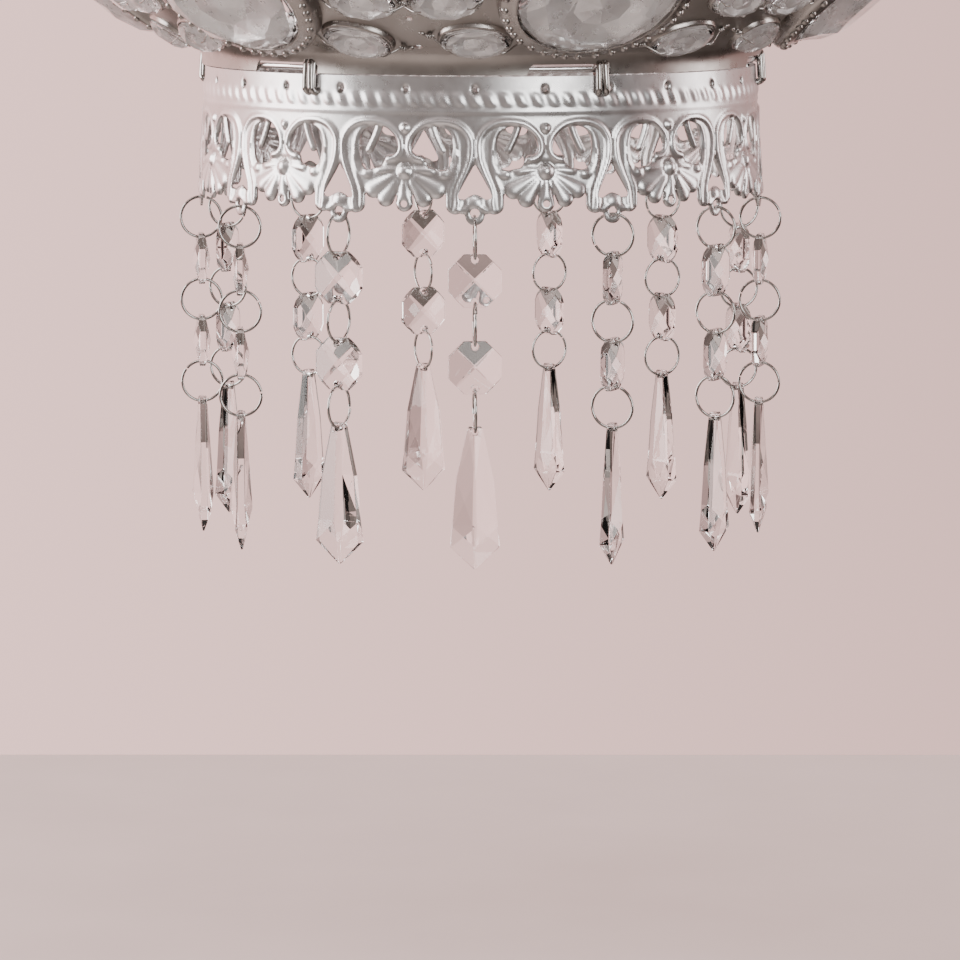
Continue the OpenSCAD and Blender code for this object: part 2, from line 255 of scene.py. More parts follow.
class Nodes:
    """Short calls for building one node material."""

    def __init__(self, name):
        self.material = bpy.data.materials.new(name)
        self.material.use_nodes = True
        self.tree = self.material.node_tree
        self.shader = self.tree.nodes["Principled BSDF"]
        self.place = self.add("ShaderNodeTexCoord").outputs["Object"]

    def add(self, kind, **values):
        node = self.tree.nodes.new(kind)
        for key, value in values.items():
            setattr(node, key, value)
        return node

    def link(self, source, target):
        self.tree.links.new(source, target)

    def noise(self, scale, detail=3.0, rough=0.55, distortion=0.0):
        node = self.add("ShaderNodeTexNoise")
        node.inputs["Scale"].default_value = scale
        node.inputs["Detail"].default_value = detail
        node.inputs["Roughness"].default_value = rough
        node.inputs["Distortion"].default_value = distortion
        self.link(self.place, node.inputs["Vector"])
        return node.outputs["Fac"]

    def ramp(self, source, stops):
        node = self.add("ShaderNodeValToRGB")
        elements = node.color_ramp.elements
        while len(elements) < len(stops):
            elements.new(0.5)
        for element, (position, colour) in zip(elements, stops):
            element.position = position
            element.color = (*colour, 1.0)
        self.link(source, node.inputs["Fac"])
        return node.outputs["Color"]

    def spread(self, source, low, high):
        """The middle of a noise's range stretched over low to high."""
        node = self.add("ShaderNodeMapRange")
        node.inputs["From Min"].default_value = 0.3
        node.inputs["From Max"].default_value = 0.7
        node.inputs["To Min"].default_value = low
        node.inputs["To Max"].default_value = high
        self.link(source, node.inputs["Value"])
        return node.outputs["Result"]

    def attribute(self, name):
        return self.add("ShaderNodeAttribute", attribute_name=name).outputs["Fac"]

    def mix(self, factor, source, colour):
        """A colour socket blended towards a plain colour."""
        node = self.add("ShaderNodeMix", data_type="RGBA")
        self.link(factor, node.inputs["Factor"])
        self.link(source, node.inputs["A"])
        node.inputs["B"].default_value = (*colour, 1.0)
        return node.outputs["Result"]

    def bump(self, heights, distance):
        """Bump from one or more height sources, with the distance in metres."""
        total = heights[0]
        for extra in heights[1:]:
            node = self.add("ShaderNodeMath", operation="ADD")
            self.link(total, node.inputs[0])
            self.link(extra, node.inputs[1])
            total = node.outputs[0]
        node = self.add("ShaderNodeBump")
        node.inputs["Distance"].default_value = distance
        node.inputs["Strength"].default_value = 1.0
        self.link(total, node.inputs["Height"])
        self.link(node.outputs["Normal"], self.shader.inputs["Normal"])

    def set(self, **values):
        for key, value in values.items():
            self.shader.inputs[key.replace("_", " ")].default_value = value


def metal(name, light, dark, rough_low, rough_high, bump_mm, cloud=60, grain=900, painted_recess_shade=None,
          metallic=1.0):
    """Plated metal: cloudy tone, hazy patches and fine pitting.

    Given a shade colour, it also paints the recesses that the mesh marks darker: painted shade in the hollows
    of the relief.
    """
    n = Nodes(name)
    n.set(Metallic=metallic)
    clouds = n.noise(cloud, 4.0, 0.6, 0.4)
    tone = n.ramp(clouds, [(0.3, dark), (0.62, light)])
    # painted shade: the tone is blended towards the darker colour where the mesh marks a recess
    if painted_recess_shade:
        tone = n.mix(n.attribute("recess"), tone, painted_recess_shade)
    n.link(tone, n.shader.inputs["Base Color"])
    n.link(n.spread(n.noise(cloud * 3, 5.0, 0.65), rough_low, rough_high), n.shader.inputs["Roughness"])
    n.bump([n.noise(grain, 3.0, 0.6), n.noise(cloud * 2.2, 2.0)], bump_mm * MM)
    return n.material


def glass(name, tint, ior, haze):
    """Cut crystal: clear, with faint polishing marks and a trace of dust."""
    n = Nodes(name)
    n.set(IOR=ior, Transmission_Weight=1.0)
    colour = n.ramp(n.noise(120, 2.0), [(0.35, tint), (0.7, (1.0, 1.0, 1.0))])
    n.link(colour, n.shader.inputs["Base Color"])
    n.link(n.spread(n.noise(260, 4.0, 0.7), 0.0, haze), n.shader.inputs["Roughness"])
    n.bump([n.noise(500, 2.0)], 0.0025 * MM)
    return n.material


# the band's silver gets painted shade, a dark grey, in the recesses of its stamped relief
BAND_SILVER = metal("band_silver", (0.86, 0.86, 0.875), (0.76, 0.755, 0.76), 0.24, 0.36, 0.012,
                    painted_recess_shade=(0.42, 0.40, 0.39))
FRAME_METAL = metal("frame_metal", (0.80, 0.80, 0.81), (0.68, 0.67, 0.67), 0.12, 0.26, 0.01)
PEWTER = metal("pewter_sheet", (0.42, 0.395, 0.375), (0.35, 0.325, 0.305), 0.24, 0.38, 0.015)
BEZEL_METAL = metal("bezel_metal", (0.46, 0.43, 0.41), (0.36, 0.33, 0.31), 0.2, 0.34, 0.015)
WIRE = metal("bright_wire", (0.56, 0.54, 0.525), (0.34, 0.32, 0.305), 0.08, 0.2, 0.004, cloud=200)
FOIL = metal("stone_foil", (0.97, 0.96, 0.96), (0.90, 0.885, 0.885), 0.2, 0.45, 0.05, cloud=90,
             grain=400, metallic=0.7)
CRYSTAL = glass("clear_crystal", (0.985, 0.98, 0.98), 1.5, 0.03)
STONE = glass("cut_stone", (0.97, 0.965, 0.965), 1.47, 0.06)


# ---------------------------------------------------------------- gallery band

HALF_PITCH = LOBE_PITCH / 2
HOLE_R = 1.25                      # eyelet holes
TOP_HOLE_R = 0.65
PETAL_HOLE_V, PETAL_HOLE_R = 33.3, 0.95
FRIEZE_V = 30.2                    # depth to which the sheet is whole apart from its pierced holes
ROPE_V, ROPE_HALF = 6.1, 2.3
ROPE_RIBS = 9                      # ribs of the rope moulding for each lobe

# Half a lobe, as (distance from the lobe's centre line, depth below the band's top edge)
SCROLL_HOLE = smooth_path([
    (2.1, 17.8), (2.0, 19.4), (3.1, 20.4), (4.6, 20.5), (5.5, 21.4), (5.9, 22.8), (6.8, 23.7), (8.4, 24.1),
    (10.3, 24.4), (12.0, 23.6), (12.9, 20.6), (13.0, 17.0), (11.8, 14.2), (9.1, 13.0), (5.5, 13.4),
    (3.1, 15.4),
], 4, closed=True)
TEARDROP = smooth_path([
    (18.85, 22.9), (17.9, 24.4), (16.3, 27.2), (14.7, 30.2), (14.4, 31.5), (15.3, 32.0), (16.7, 31.5),
    (18.85, 30.7), (21.0, 31.5), (22.4, 32.0), (23.3, 31.5), (23.0, 30.2), (21.4, 27.2), (19.8, 24.4),
], 4, closed=True)
TONGUE = smooth_path([(7.2, 12.4), (7.9, 14.7), (9.0, 17.2), (10.1, 19.3)], 4)
OUTER_RIDGE = smooth_path([
    (13.9, 35.0), (14.3, 33.0), (14.4, 31.0), (14.9, 28.6), (16.2, 25.6), (17.5, 22.0), (17.95, 18.0),
    (17.3, 15.4), (15.3, 13.1), (12.4, 11.9), (8.8, 11.7), (5.6, 12.4), (3.2, 14.1), (1.6, 16.1), (1.1, 18.2),
    (1.6, 20.0), (3.0, 21.3), (4.7, 21.7),
], 4)
INNER_RIDGE = smooth_path([
    (10.6, 13.2), (12.9, 14.5), (14.0, 17.0), (14.3, 20.3), (14.2, 23.4), (13.3, 26.8), (12.1, 29.6),
    (11.7, 32.0), (11.9, 34.4),
], 4)
LOWER_SCROLL = smooth_path([(13.6, 23.2), (12.8, 25.0), (11.2, 26.0), (10.2, 25.0)], 4)
WEB_RIDGE = smooth_path([(14.2, 34.9), (15.6, 35.0), (17.0, 34.3), (18.2, 33.0)], 4)
# Petals and feet as (root x, root y, tip x, tip y, root radius, tip radius, height)
PETALS = [
    (0.0, 26.2, 0.0, 33.1, 1.0, 2.3, 1.0),
    (1.2, 26.0, 5.2, 31.9, 0.9, 2.3, 0.95),
    (2.0, 25.4, 8.7, 29.7, 0.9, 2.3, 0.9),
    (2.4, 24.3, 7.1, 24.6, 0.8, 1.3, 0.7),
]
FEET = [
    (13.2, 28.0, 13.7, 33.4, 2.0, 2.55, 0.0),
    (13.8, 34.0, 18.85, 34.9, 1.5, 1.5, 0.0),
    (18.85, 33.0, 18.85, 33.4, 2.6, 2.6, 0.0),
    (18.85, 36.2, 18.85, 36.3, 2.5, 2.5, 0.0),
]


def path_distance(x, y, path, closed=False):
    """Distance from each point to a polyline."""
    best = np.full(x.shape, 1e9)
    ends = np.roll(path, -1, 0) if closed else path[1:]
    for (ax, ay), (bx, by) in zip(path, ends):
        dx, dy = bx - ax, by - ay
        t = np.clip(((x - ax) * dx + (y - ay) * dy) / (dx * dx + dy * dy + 1e-12), 0, 1)
        best = np.minimum(best, np.hypot(x - ax - t * dx, y - ay - t * dy))
    return best


def outside_loop(x, y, loop):
    """Signed distance to a closed outline, positive outside it."""
    odd = np.zeros(x.shape, bool)
    for (ax, ay), (bx, by) in zip(loop, np.roll(loop, -1, 0)):
        crosses = (ay > y) != (by > y)
        with np.errstate(divide="ignore", invalid="ignore"):
            odd ^= crosses & (x < (bx - ax) * (y - ay) / (by - ay) + ax)
    return np.where(odd, -1, 1) * path_distance(x, y, loop, closed=True)


def petal_depth(x, y, petal):
    """How far a point is inside a tapered round-ended petal, and the petal's radius there."""
    ax, ay, bx, by, ra, rb, _ = petal
    dx, dy = bx - ax, by - ay
    t = np.clip(((x - ax) * dx + (y - ay) * dy) / (dx * dx + dy * dy), 0, 1)
    radius = ra + (rb - ra) * t
    return radius - np.hypot(x - ax - t * dx, y - ay - t * dy), radius


def half_lobe(u):
    """Distance from the nearest lobe's centre line."""
    return np.abs(np.mod(u, LOBE_PITCH) - HALF_PITCH)


def band_solid(u, v):
    """Signed distance inside the band's sheet: positive where there is metal."""
    x = half_lobe(u)
    solid = FRIEZE_V - v
    for part in PETALS + FEET:
        solid = np.maximum(solid, petal_depth(x, v, part)[0])
    scroll = outside_loop(x, v, SCROLL_HOLE)
    tongue = 1.0 - path_distance(x, v, TONGUE)
    solid = np.minimum(solid, np.maximum(scroll, tongue))
    solid = np.minimum(solid, outside_loop(x, v, TEARDROP))
    solid = np.minimum(solid, np.hypot(x - HALF_PITCH, v - EYELET_V) - HOLE_R)
    solid = np.minimum(solid, np.hypot(x, v - PETAL_HOLE_V) - PETAL_HOLE_R)
    near_hole = np.minimum(x, HALF_PITCH - x)
    return np.minimum(solid, np.hypot(near_hole, v - TOP_HOLE_V) - TOP_HOLE_R)


def hump(distance, half_width):
    """Smooth bump from 1 at no distance to 0 at the half width."""
    return 0.5 + 0.5 * np.cos(np.pi * np.clip(distance / half_width, 0, 1))


def dome(distance, radius):
    return np.sqrt(np.clip(1 - (distance / radius) ** 2, 0, 1))


def band_relief(u, v):
    """Height of the stamped relief above the band's cone."""
    x = half_lobe(u)
    frieze = np.clip((v - 10.2) / 1.2, 0, 1)
    outer, inner = path_distance(x, v, OUTER_RIDGE), path_distance(x, v, INNER_RIDGE)
    height = -0.11 * np.clip(v - 9.6, 0, 5)
    height = height - 0.4 * frieze * np.clip(1.35 - 0.3 * (outer + inner), 0, 1)
    height = np.maximum(height, -0.75 + 1.25 * hump(outer, 1.9))
    height = np.maximum(height, -0.75 + 0.95 * hump(inner, 1.5))
    height = np.maximum(height, -0.5 + 0.75 * hump(path_distance(x, v, LOWER_SCROLL), 1.2))
    height = np.maximum(height, -0.5 + 0.75 * hump(path_distance(x, v, WEB_RIDGE), 1.5))
    height = np.maximum(height, -0.6 + 0.8 * hump(path_distance(x, v, TONGUE), 1.4))
    height = np.maximum(height, -0.1 + 0.5 * dome(np.hypot(x - 10.6, v - 25.4), 1.25))
    for petal in PETALS:
        depth, radius = petal_depth(x, v, petal)
        height = np.maximum(height, -0.6 + (0.75 * petal[6] + 0.4) * dome(radius - depth, 1.06 * radius))
    boss = np.hypot(x, v - 24.7)
    height = height - 0.3 * hump(np.abs(boss - 2.5), 0.8)
    height = np.maximum(height, -0.4 + 1.6 * dome(boss, 2.0))
    height = np.maximum(height, -0.4 + 1.2 * dome(np.hypot(x, v - 13.5), 1.3))
    height = np.maximum(height, -0.5 + 1.0 * dome(np.hypot(x - HALF_PITCH, v - 33.1), 2.3))
    eyelet = np.hypot(x - HALF_PITCH, v - EYELET_V)
    height = np.maximum(height, -0.45 + 0.5 * hump(np.abs(eyelet - 1.8), 0.9))
    swell = np.clip(1 - ((v - ROPE_V) / ROPE_HALF) ** 2, 0, 1)
    ribs = np.cos(2 * np.pi * (u / LOBE_PITCH * ROPE_RIBS - 0.1 * (v - ROPE_V)))
    height = height + swell * (0.32 + 0.17 * ribs) + 0.2 * hump(np.abs(v - 9.0), 1.1)
    # a lip pressed round the small holes, and edges that roll back a little
    near_hole = np.hypot(np.minimum(x, HALF_PITCH - x), v - TOP_HOLE_V)
    height = height - 0.2 * hump(np.abs(near_hole - TOP_HOLE_R), 0.7)
    return height - 0.28 * np.exp(-np.clip(band_solid(u, v), 0, 9) / 0.4)


def level_set(us, vs, field, turn):
    """Points and polygons where field > 0, on a grid that closes after one turn in u.

    It also gives the ids of the points in the first and last rows of v.
    """
    nu, nv = len(us), len(vs)
    grid_u, grid_v = np.meshgrid(us, vs, indexing="ij")
    value = field(grid_u, grid_v)
    inside = value > 0
    ids = np.full((nu, nv), -1)
    ids[inside] = np.arange(inside.sum())
    points = [np.column_stack([grid_u[inside], grid_v[inside]])]
    count = int(inside.sum())

    def crossings(other_value, other_u, other_v):
        nonlocal count
        mask = inside != (other_value > 0)
        t = value[mask] / (value[mask] - other_value[mask])
        edge_ids = np.full(mask.shape, -1)
        edge_ids[mask] = count + np.arange(mask.sum())
        count += int(mask.sum())
        points.append(np.column_stack([grid_u[mask] + t * (other_u[mask] - grid_u[mask]),
                                       grid_v[mask] + t * (other_v[mask] - grid_v[mask])]))
        return edge_ids

    next_u = np.roll(grid_u, -1, 0)
    next_u[-1] += turn
    along_u = crossings(np.roll(value, -1, 0), next_u, grid_v)
    below_value = np.concatenate([value[:, 1:], value[:, -1:]], axis=1)
    below_v = np.concatenate([grid_v[:, 1:], grid_v[:, -1:]], axis=1)
    along_v = crossings(below_value, grid_u, below_v)

    polygons = []
    right = np.roll(ids, -1, 0)
    corners = np.stack([ids[:, :-1], ids[:, 1:], right[:, 1:], right[:, :-1]], axis=-1)
    full = (corners >= 0).all(axis=-1)
    polygons.extend(corners[full].tolist())
    some = (corners >= 0).any(axis=-1) & ~full
    for i, j in zip(*np.nonzero(some)):
        i2 = (i + 1) % nu
        corner = [ids[i, j], ids[i, j + 1], ids[i2, j + 1], ids[i2, j]]
        edge = [along_v[i, j], along_u[i, j + 1], along_v[i2, j], along_u[i, j]]
        polygon = []
        for k in range(4):
            if corner[k] >= 0:
                polygon.append(int(corner[k]))
            if edge[k] >= 0:
                polygon.append(int(edge[k]))
        if len(polygon) > 2:
            polygons.append(polygon)
    return np.concatenate(points), polygons, ids[:, 0], ids[:, -1]


def closed_sheet(front, back, polygons):
    """A sheet with its front, the same polygons turned over behind, and a wall round every free edge."""
    n = len(front)
    edges = set()
    for polygon in polygons:
        edges.update(zip(polygon, polygon[1:] + polygon[:1]))
    walls = [[b, a, a + n, b + n] for a, b in edges if (b, a) not in edges]
    behind = [[i + n for i in polygon[::-1]] for polygon in polygons]
    return np.concatenate([front, back]), polygons + behind + walls


def gallery_band():
    turn = LOBE_PITCH * STRINGS
    coarse = 66 * STRINGS
    fine_us = np.arange(2 * coarse) * turn / (2 * coarse)
    upper_vs = np.concatenate([np.linspace(0, 4, 9), np.linspace(4.45, 9.4, 11), [10.0]])
    lower_vs = np.linspace(10.0, 39.2, 55)
    upper, upper_faces, _, upper_last = level_set(fine_us, upper_vs, band_solid, turn)
    lower, lower_faces, lower_first, _ = level_set(fine_us[::2], lower_vs, band_solid, turn)
    # the lower grid's first row shares every second point of the upper grid's last row
    shared = {int(low): int(up) for low, up in zip(lower_first, upper_last[::2])}
    middle = {}
    for k in range(coarse):
        middle[(int(lower_first[(k + 1) % coarse]), int(lower_first[k]))] = int(upper_last[2 * k + 1])
    faces = list(upper_faces)
    for polygon in lower_faces:
        joined = []
        for a, b in zip(polygon, polygon[1:] + polygon[:1]):
            joined.append(shared.get(a, a + len(upper)))
            if (a, b) in middle:
                joined.append(middle[(a, b)])
        faces.append(joined)
    points = np.concatenate([upper, lower])
    used = sorted({i for polygon in faces for i in polygon})
    renumber = {old: new for new, old in enumerate(used)}
    faces = [[renumber[i] for i in polygon] for polygon in faces]
    u, v = points[used].T
    azimuth = math.radians(STRING_AZ0) + u / HANG_R
    relief = band_relief(u, v)
    cone = BAND_TOP_R + (HANG_R - BAND_TOP_R) * v / EYELET_V
    # a little out of round, as bent by hand
    cone = cone + 0.12 * np.sin(3 * azimuth + 1.0) + 0.06 * np.sin(8 * azimuth)
    front = polar(cone + BAND_T / 2 + relief, azimuth, BAND_Z - v)
    back = polar(cone - BAND_T / 2 + relief, azimuth, BAND_Z - v)
    verts, faces = closed_sheet(front, back, faces)
    piece = add_object("gallery_band_stamped", verts, faces, BAND_SILVER, sharp=55)
    # mask of the relief's recesses; the band's material paints shade there
    recess = np.clip((0.25 - np.tile(relief, 2)) / 0.9, 0, 1)
    mark = piece.data.attributes.new("recess", "FLOAT", "POINT")
    mark.data.foreach_set("value", recess.astype(np.float32))
    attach(piece, ROOT)
    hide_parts("gallery_band")


# ---------------------------------------------------------------- bowl sheet

MOUTH_R = 76.9                     # radius of the lip's middle surface
REF_R = 100.0                      # radius at which the sheet's grid is spaced
LIP_Z = BAND_Z + LIP_GAP
PUNCH_R = 1.1                      # radius of the punched holes between the stones
GAP_AZ0 = -11.5                    # azimuth of the first panel between two large stones
ROW4_AZ0 = 24.5


def stone_places():
    """Every small stone as (azimuth, angle from the bowl's lowest point, tilt), row by row."""
    tilts = [-24, -6, 18, -10, 8, 14, -12, 6, -18, 10, -8, 12]
    places = []
    for k in range(6):
        middle = GAP_AZ0 + 60 * k
        places += [(middle - 10.5, 33.2, tilts[2 * k]), (middle + 10.5, 33.2, tilts[2 * k + 1])]
        places += [(middle - 6.2, 39.8, -6), (middle + 6.2, 39.8, 6)]
        places += [(middle - 11.5, 46.2, 8), (middle, 46.2, 0), (middle + 11.5, 46.2, -8)]
    for k in range(30):
        places.append((ROW4_AZ0 + 12 * k, 52.6, 5 if k % 2 == 0 else -5))
    return places


STONES = stone_places()
# Punched holes as (azimuth, angle from the lowest point)
PUNCHES = [(GAP_AZ0 + 60 * k + across, theta) for k in range(6) for across, theta in (
    (0, 36.6), (0, 31.6), (0, 43.0), (-17.5, 52.0), (17.5, 52.0), (-6.2, 49.6), (6.2, 49.6))]


def bowl_profile():
    """The sheet's middle line as (radius, height) from lip to rim, its running length and its normals."""
    radius = BOWL_R - BOWL_T / 2
    start = math.asin(NECK_R / radius)
    end = math.acos((BOWL_CZ - RIM_Z) / radius) + 0.012
    lip = [(MOUTH_R + out, LIP_Z + up) for out, up in (
        (0, 0), (0, 0.5), (0.03, 1.2), (0.1, 2.0), (0.25, 2.8), (0.5, 3.7), (0.85, 4.5), (1.35, 5.3),
        (2.0, 6.0), (2.8, 6.55))]
    near = np.linspace(start, start + 0.045, 12)
    far = np.linspace(start + 0.045, end, 52)[1:]
    arc = [(radius * math.sin(t), BOWL_CZ - radius * math.cos(t)) for t in np.concatenate([near, far])]
    line = np.array(lip + arc)
    length = np.concatenate([[0], np.cumsum(np.hypot(*np.diff(line, axis=0).T))])
    slope = np.gradient(line, axis=0)
    normal = np.column_stack([slope[:, 1], -slope[:, 0]])
    return line, length, normal / np.linalg.norm(normal, axis=1)[:, None]


def bowl_sheet():
    line, length, normal = bowl_profile()
    turn = 2 * math.pi * REF_R

    def radius_at(v):
        return np.interp(v, length, line[:, 0])

    def metal_left(u, v):
        azimuth = np.degrees(u / REF_R)
        solid = np.full(np.shape(u), 9.0)
        for punch_az, theta in PUNCHES:
            punch_v = np.interp((BOWL_R - BOWL_T / 2) * math.sin(math.radians(theta)), line[:, 0], length)
            across = np.radians((azimuth - punch_az + 180) % 360 - 180) * radius_at(v)
            solid = np.minimum(solid, np.hypot(across, v - punch_v) - PUNCH_R)
        notch_v = np.interp(BAND_Z + NOTCH_H, line[:, 1], length)
        for notch_az in NOTCHES:
            across = (azimuth - notch_az + 90) % 360 - 90
            left = np.radians(across) * LIP_R - 0.45 * (v - 1.0)
            right = np.radians(NOTCH_SPAN - across) * LIP_R
            box = np.minimum(np.minimum(left, right), notch_v - v)
            solid = np.minimum(solid, -box)
        return solid

    us = np.arange(600) * turn / 600
    points, polygons, _, _ = level_set(us, length, metal_left, turn)
    u, v = points.T
    azimuth = u / REF_R
    # hammered a little out of true, as thin sheet is
    ripple = 0.1 * np.sin(9 * azimuth + 0.05 * v) + 0.07 * np.sin(23 * azimuth - 0.11 * v)
    r, z = radius_at(v), np.interp(v, length, line[:, 1])
    nr, nz = np.interp(v, length, normal[:, 0]), np.interp(v, length, normal[:, 1])
    offset = BOWL_T / 2 + ripple * np.clip(v / 8, 0, 1)
    front = polar(r + nr * offset, azimuth, z + nz * offset)
    back = polar(r + nr * (offset - BOWL_T), azimuth, z + nz * (offset - BOWL_T))
    verts, faces = closed_sheet(front, back, polygons)
    piece = add_object("bowl_sheet", verts, faces, PEWTER, sharp=50)
    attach(piece, ROOT)
    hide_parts("bowl_shell")


def sheet_drop(x, y):
    """How far the bowl's surface lies below the tangent plane at a local point."""
    return BOWL_R - np.sqrt(BOWL_R ** 2 - np.asarray(x) ** 2 - np.asarray(y) ** 2)


def bump_shell(centre, long_half, wide_half, height, turn, sides=10):
    """Verts and faces of a droplet of metal lying on the bowl at a local point."""
    cx, cy = centre
    rings = []
    for level, scale in ((-0.35, 1.0), (0.0, 1.0), (0.45, 0.86), (0.8, 0.58), (0.97, 0.25)):
        ring = []
        for k in range(sides):
            a = 2 * math.pi * k / sides
            px, py = scale * long_half * math.cos(a), scale * wide_half * math.sin(a)
            x = cx + px * math.cos(turn) - py * math.sin(turn)
            y = cy + px * math.sin(turn) + py * math.cos(turn)
            ring.append((x, y, level * height - float(sheet_drop(x, y))))
        rings.append(ring)
    return rings_solid(rings)


# ---------------------------------------------------------------- large stones

CROWN_Z = 1.5                      # bezel floor to the girdle of a large stone
GRANULES = 41
GRANULE_RING_R = 24.7


def cut_crown(rx, ry, girdle_z, height, table, star, corners, turn):
    """Points and faces of a brilliant-cut crown: girdle, star points and table, all ovals."""

    def oval(n, scale, z, start):
        return [(rx * scale * math.cos(start + 2 * math.pi * k / n),
                 ry * scale * math.sin(start + 2 * math.pi * k / n), z) for k in range(n)]

    n = corners
    step = math.pi / n
    girdle = oval(2 * n, 1.0, girdle_z, turn)
    stars = oval(n, star, girdle_z + 0.66 * (height - girdle_z), turn + step)
    tables = oval(n, table, height, turn)
    g, s, t = 0, 2 * n, 3 * n
    faces = [[t + k for k in range(n)]]
    for k in range(n):
        after, before = (k + 1) % n, (k - 1) % n
        faces.append([t + k, s + k, t + after])
        faces.append([t + k, s + before, g + 2 * k, s + k])
        faces.append([s + k, g + 2 * k, g + 2 * k + 1])
        faces.append([s + k, g + 2 * k + 1, g + (2 * k + 2) % (2 * n)])
    return girdle + stars + tables, faces


def cut_stone(rx, ry, base_z, girdle_z, height, table, star, corners, turn):
    """A closed faceted stone: crown, a thin girdle wall and a shallow faceted back."""
    verts, faces = cut_crown(rx, ry, girdle_z, height, table, star, corners, turn)
    n2 = 2 * corners
    start = len(verts)
    girdle_low = [(x, y, girdle_z - 0.5 * (girdle_z - base_z)) for x, y, _ in verts[:n2]]
    back = [(0.62 * x, 0.62 * y, base_z + 0.12) for x, y, _ in verts[:n2:2]]
    verts = verts + girdle_low + back + [(0.0, 0.0, base_z)]
    b, c = start + n2, start + n2 + corners
    for k in range(n2):
        faces.append([start + k, start + (k + 1) % n2, (k + 1) % n2, k])
    for k in range(corners):
        after = (k + 1) % corners
        faces.append([start + 2 * k, b + k, start + 2 * k + 1])
        faces.append([start + 2 * k + 1, b + k, b + after])
        faces.append([start + 2 * k + 1, b + after, start + (2 * k + 2) % n2])
        faces.append([b + k, c, b + after])
    return verts, faces


def star_foil(rx, ry, low, rise, n):
    """A faceted star of foil that lies under a stone: verts and faces."""

    def ring(scale, z, turn=0):
        return [(rx * scale * math.cos(turn + 2 * math.pi * k / n),
                 ry * scale * math.sin(turn + 2 * math.pi * k / n), z) for k in range(n)]

    verts = ring(1.0, low) + ring(0.68, low + rise, math.pi / n) + ring(0.36, low + 0.15 * rise)
    verts += [(0.0, 0.0, low + 0.8 * rise)] + ring(1.0, low - 0.3)
    tip, under = 3 * n, 3 * n + 1
    faces = [[under + k for k in range(n)]]
    for k in range(n):
        after = (k + 1) % n
        faces += [[k, after, n + k], [n + k, after, n + after], [n + k, n + after, 2 * n + after],
                  [n + k, 2 * n + after, 2 * n + k], [2 * n + k, 2 * n + after, tip],
                  [under + k, under + after, after, k]]
    return verts, faces


def large_stones():
    stones, bezels, foils = Shells(), Shells(), Shells()
    floor = BEZEL_FLOOR
    wall = [(BIG_R + 0.2, floor + 0.3), (BIG_R + 0.2, 2.6), (BIG_R + 0.4, 2.95), (BIG_R + 0.8, 3.0),
            (BIG_R + 1.2, 2.75), (BIG_R + 2.2, 2.5), (BIG_R + 3.4, 2.1), (BEZEL_R - 0.7, 1.6),
            (BEZEL_R - 0.2, 1.1), (BEZEL_R, 0.3), (BEZEL_R, -2.5), (BEZEL_R - 1.0, -2.5),
            (BEZEL_R - 1.2, 0.2), (BIG_R + 0.4, 0.6), (4.0, 0.6), (4.0, floor), (BIG_R - 0.4, floor)]
    ring_v, ring_f = revolve(wall, 96)
    foil_v, foil_f = star_foil(BIG_R - 0.3, BIG_R - 0.3, floor + 0.1, 2.1, 9)
    granule = [(0.02, 0.92), (0.55, 0.76), (0.95, 0.3), (1.12, -0.2), (0.02, -0.4)]
    granule_v, granule_f = revolve(granule, 12)
    for k, azimuth in enumerate(BIG_STONES):
        v, f = cut_stone(BIG_R, BIG_R, floor + 0.25, floor + CROWN_Z, floor + BIG_H, 0.52, 0.76, 8,
                         0.2 + 0.37 * k)
        stones.add(on_bowl(v, azimuth, BIG_THETA), f)
        bezels.add(on_bowl(ring_v, azimuth, BIG_THETA), ring_f)
        foils.add(on_bowl(foil_v, azimuth, BIG_THETA, 31 * k), foil_f)
        for i in range(GRANULES):
            a = 2 * math.pi * (i + 0.2 * math.sin(5.0 * i)) / GRANULES
            moved = np.array(granule_v) + [GRANULE_RING_R * math.cos(a), GRANULE_RING_R * math.sin(a), 2.0]
            bezels.add(on_bowl(moved, azimuth, BIG_THETA), granule_f)
    crystal = stones.build("large_cut_stones", STONE)
    metalwork = bezels.build("large_stone_bezels", BEZEL_METAL, sharp=40)
    foil = foils.build("large_stone_foils", FOIL)
    for piece, slot in ((crystal, "cut_stone"), (metalwork, "bezel_metal"), (foil, "bezel_metal")):
        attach(piece, ROOT)
    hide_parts("large_crystals")
    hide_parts("large_bezels")


# ---------------------------------------------------------------- small stones


def oval_points(rx, ry, n, power=2.2):
    """An oval outline, a little fuller than an ellipse."""
    pts = []
    for k in range(n):
        a = 2 * math.pi * k / n
        c, s = math.cos(a), math.sin(a)
        grow = (abs(c) ** power + abs(s) ** power) ** (-1 / power)
        pts.append((rx * grow * c, ry * grow * s))
    return pts


def oval_rings(levels, n, rx, ry):
    """Rings of an oval dish; each level is (margin beyond the stone, height above the sheet)."""
    rings = []
    for margin, height in levels:
        pts = oval_points(rx + margin, ry + margin, n)
        rings.append([(x, y, height - 0.75 * float(sheet_drop(x, y))) for x, y in pts])
    return rings


